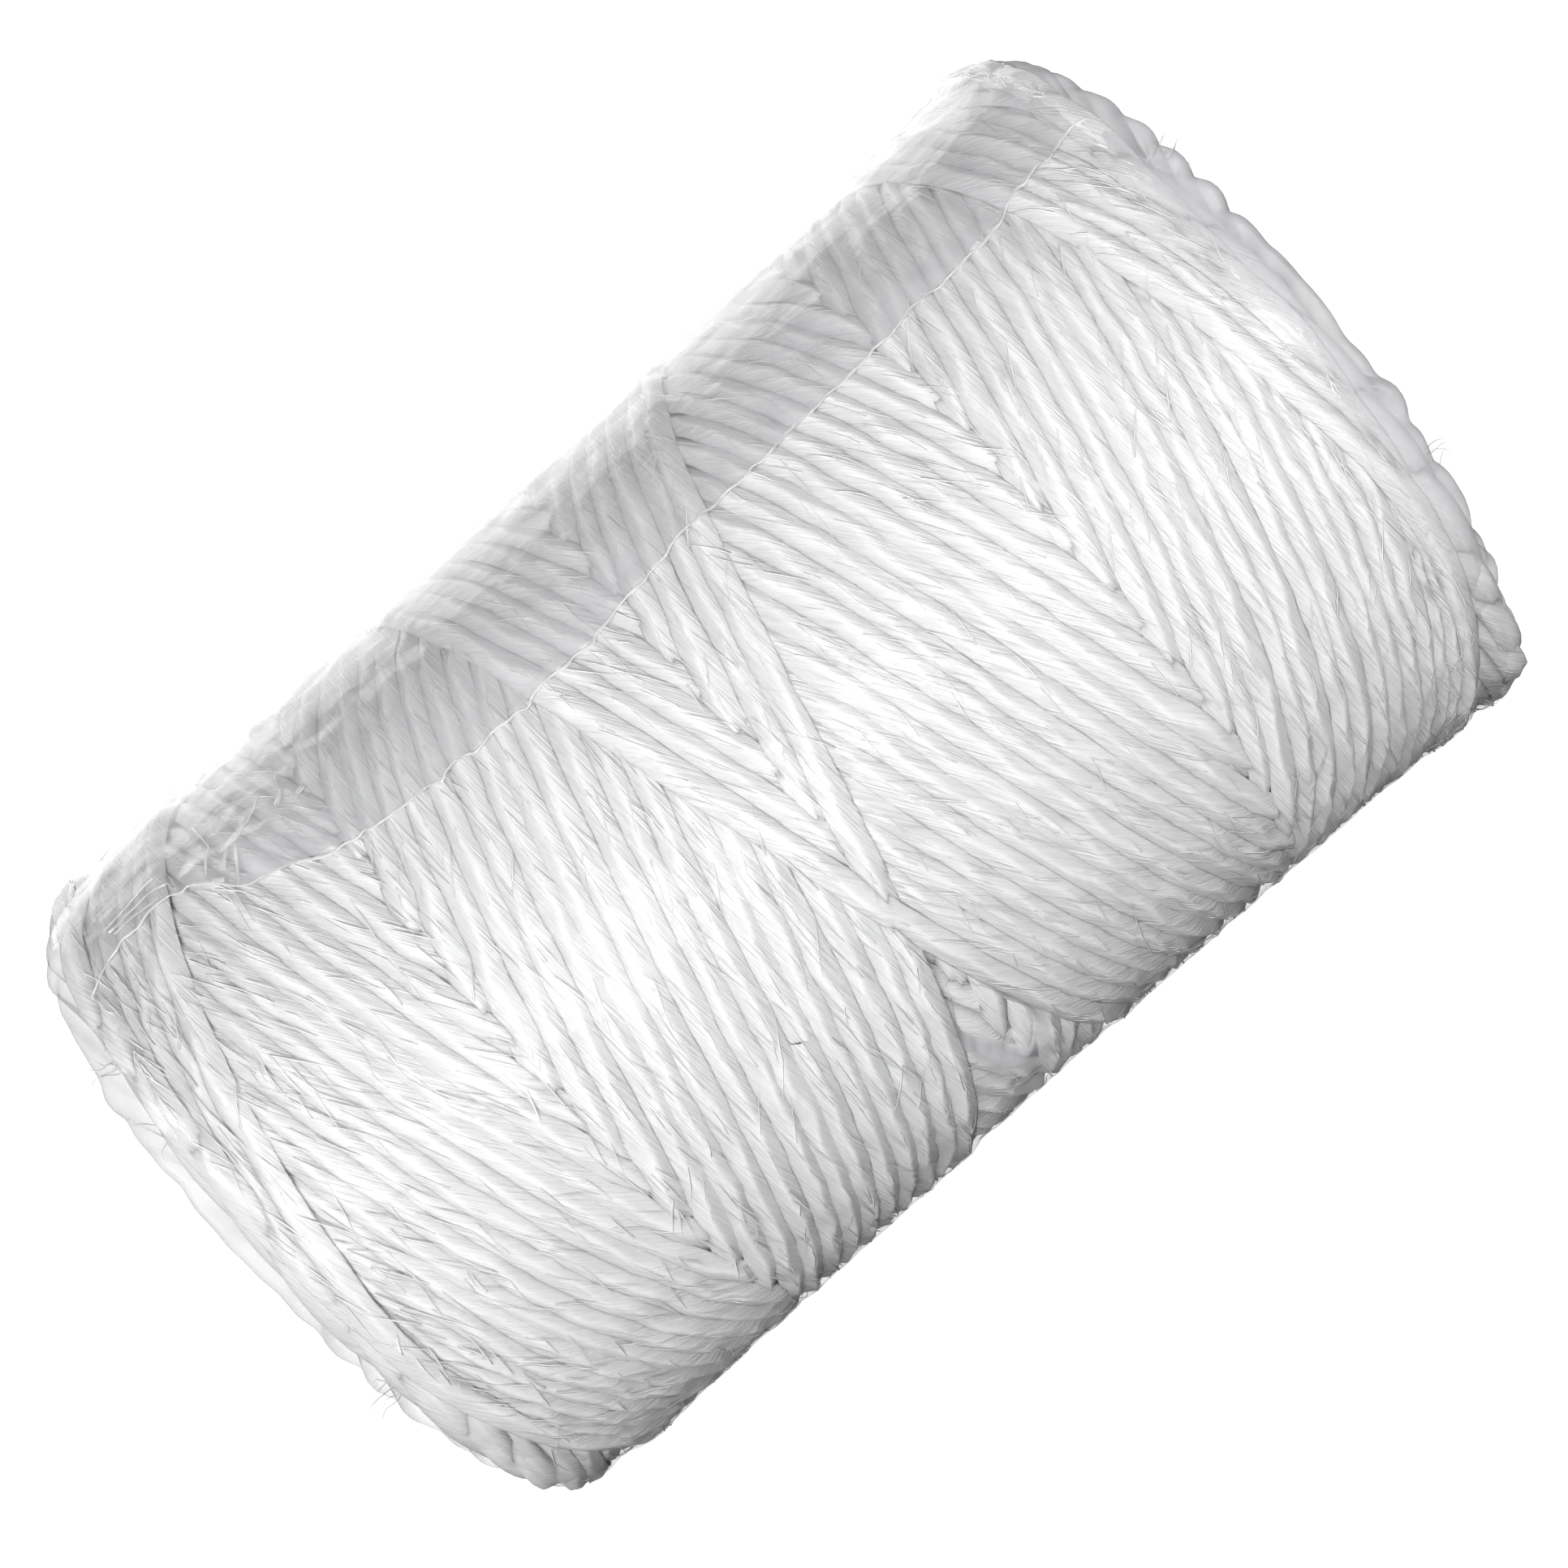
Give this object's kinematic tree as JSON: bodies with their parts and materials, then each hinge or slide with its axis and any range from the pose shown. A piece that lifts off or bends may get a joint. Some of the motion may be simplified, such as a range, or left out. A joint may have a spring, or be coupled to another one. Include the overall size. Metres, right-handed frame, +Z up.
{
  "type": "twine roll",
  "caption": "Roll of white polypropylene twine, cross-wound on a paperboard tube and wrapped in clear shrink film with a lengthwise seam.",
  "frame": {"origin": "on the surface that the roll lies on, below the middle of the roll", "axes": "+X along the roll's axis, towards the right-hand end; +Z up; -Y is the front, where the seam is nearer"},
  "size_m": [0.086, 0.055, 0.0547],
  "materials": {
    "paperboard_inner": "matte",
    "paperboard_outer": "matte",
    "twine": "satin",
    "film": "gloss",
    "film_seam": "gloss"
  },
  "bodies": {
    "root": {"core_inner_ply": "paperboard_inner", "core_outer_ply": "paperboard_outer", "twine_winding": "twine", "film_sleeve": "film", "film_end_fold_left": "film", "film_end_fold_right": "film", "film_seam": "film_seam"}
  },
  "joints": []
}
